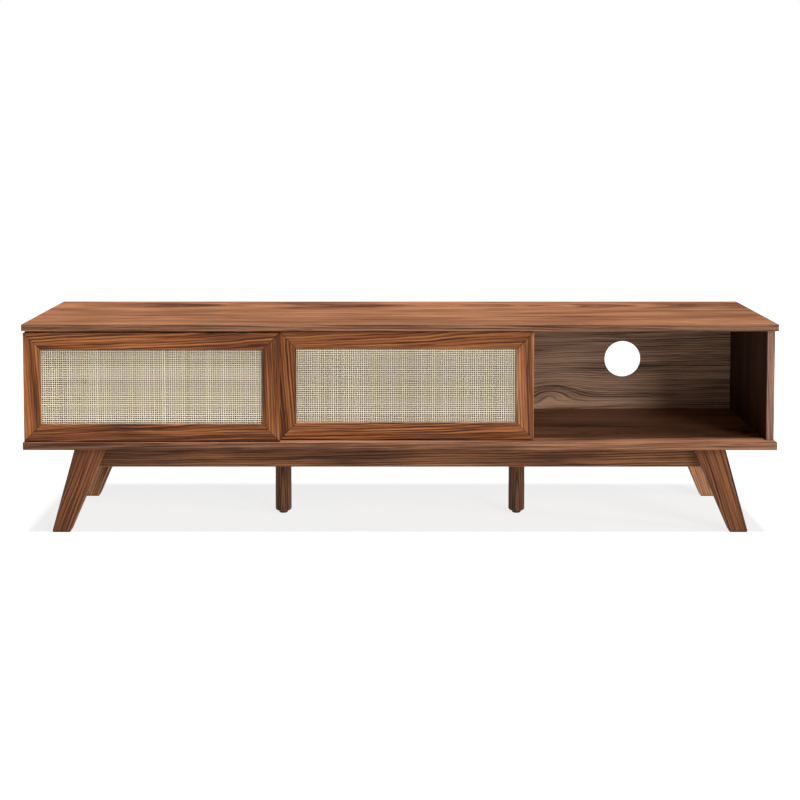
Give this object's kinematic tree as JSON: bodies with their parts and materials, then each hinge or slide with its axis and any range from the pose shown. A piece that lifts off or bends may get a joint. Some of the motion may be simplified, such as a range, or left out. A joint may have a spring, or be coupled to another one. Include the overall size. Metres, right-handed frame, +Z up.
{
  "type": "media console cabinet",
  "caption": "Low walnut-grain console cabinet on splayed legs, with cane-fronted doors that slide past each other and an open bay.",
  "frame": {"origin": "on the floor, under the middle of the top", "axes": "+X to the right of someone facing the doors, +Y to the back, +Z up"},
  "size_m": [1.778, 0.394, 0.505],
  "materials": {
    "top_walnut": "satin walnut-grain laminate, reddish brown",
    "case_walnut": "satin walnut-grain laminate, mid brown",
    "door_walnut": "satin walnut-grain laminate, orange brown",
    "base_walnut": "satin walnut-grain laminate, dark brown",
    "back_walnut": "matt walnut-grain back board, greyish brown",
    "cane": "natural woven cane",
    "nylon": "black moulded nylon",
    "felt": "dark felt",
    "steel": "zinc-plated steel",
    "pine": "bare pine"
  },
  "bodies": {
    "case": {"top_panel": "top_walnut", "bottom_panel": "case_walnut", "left_side_panel": "case_walnut", "right_side_panel": "case_walnut", "left_divider": "case_walnut", "right_divider": "case_walnut", "left_back_panel": "back_walnut", "middle_back_panel": "back_walnut", "right_back_panel": "back_walnut", "front_rail": "base_walnut", "rear_rail": "base_walnut", "left_rail": "base_walnut", "right_rail": "base_walnut", "front_left_leg": "base_walnut", "front_right_leg": "base_walnut", "rear_left_leg": "base_walnut", "rear_right_leg": "base_walnut", "front_left_foot_pad": "felt", "front_right_foot_pad": "felt", "rear_left_foot_pad": "felt", "rear_right_foot_pad": "felt", "front_left_corner_block": "pine", "front_right_corner_block": "pine", "rear_left_corner_block": "pine", "rear_right_corner_block": "pine", "left_middle_leg": "base_walnut", "right_middle_leg": "base_walnut", "left_middle_leg_plate": "steel", "right_middle_leg_plate": "steel", "left_middle_leg_bolt": "steel", "right_middle_leg_bolt": "steel"},
    "front_door": {"front_door_bottom_rail": "door_walnut", "front_door_top_rail": "door_walnut", "front_door_left_stile": "door_walnut", "front_door_right_stile": "door_walnut", "front_door_cane": "cane", "front_door_lower_bead": "door_walnut", "front_door_upper_bead": "door_walnut", "front_door_left_bead": "door_walnut", "front_door_right_bead": "door_walnut", "front_door_left_lower_glide": "nylon", "front_door_right_lower_glide": "nylon", "front_door_left_upper_glide": "nylon", "front_door_right_upper_glide": "nylon"},
    "rear_door": {"rear_door_bottom_rail": "door_walnut", "rear_door_top_rail": "door_walnut", "rear_door_left_stile": "door_walnut", "rear_door_right_stile": "door_walnut", "rear_door_cane": "cane", "rear_door_lower_bead": "door_walnut", "rear_door_upper_bead": "door_walnut", "rear_door_left_bead": "door_walnut", "rear_door_right_bead": "door_walnut", "rear_door_left_lower_glide": "nylon", "rear_door_right_lower_glide": "nylon", "rear_door_left_upper_glide": "nylon", "rear_door_right_upper_glide": "nylon"},
    "left_foot_glide": {"left_foot_glide": "nylon"},
    "right_foot_glide": {"right_foot_glide": "nylon"}
  },
  "joints": [
    {"name": "front_door_slide", "type": "slide", "parent": "case", "child": "front_door", "axis": [1, 0, 0], "range_m": [0, 1.1693]},
    {"name": "rear_door_slide", "type": "slide", "parent": "case", "child": "rear_door", "axis": [1, 0, 0], "range_m": [-0.5792, 0.548]},
    {"name": "left_foot_glide_screw", "type": "slide", "parent": "case", "child": "left_foot_glide", "axis": [0, 0, -1], "range_m": [0, 0.006]},
    {"name": "right_foot_glide_screw", "type": "slide", "parent": "case", "child": "right_foot_glide", "axis": [0, 0, -1], "range_m": [0, 0.006]}
  ]
}
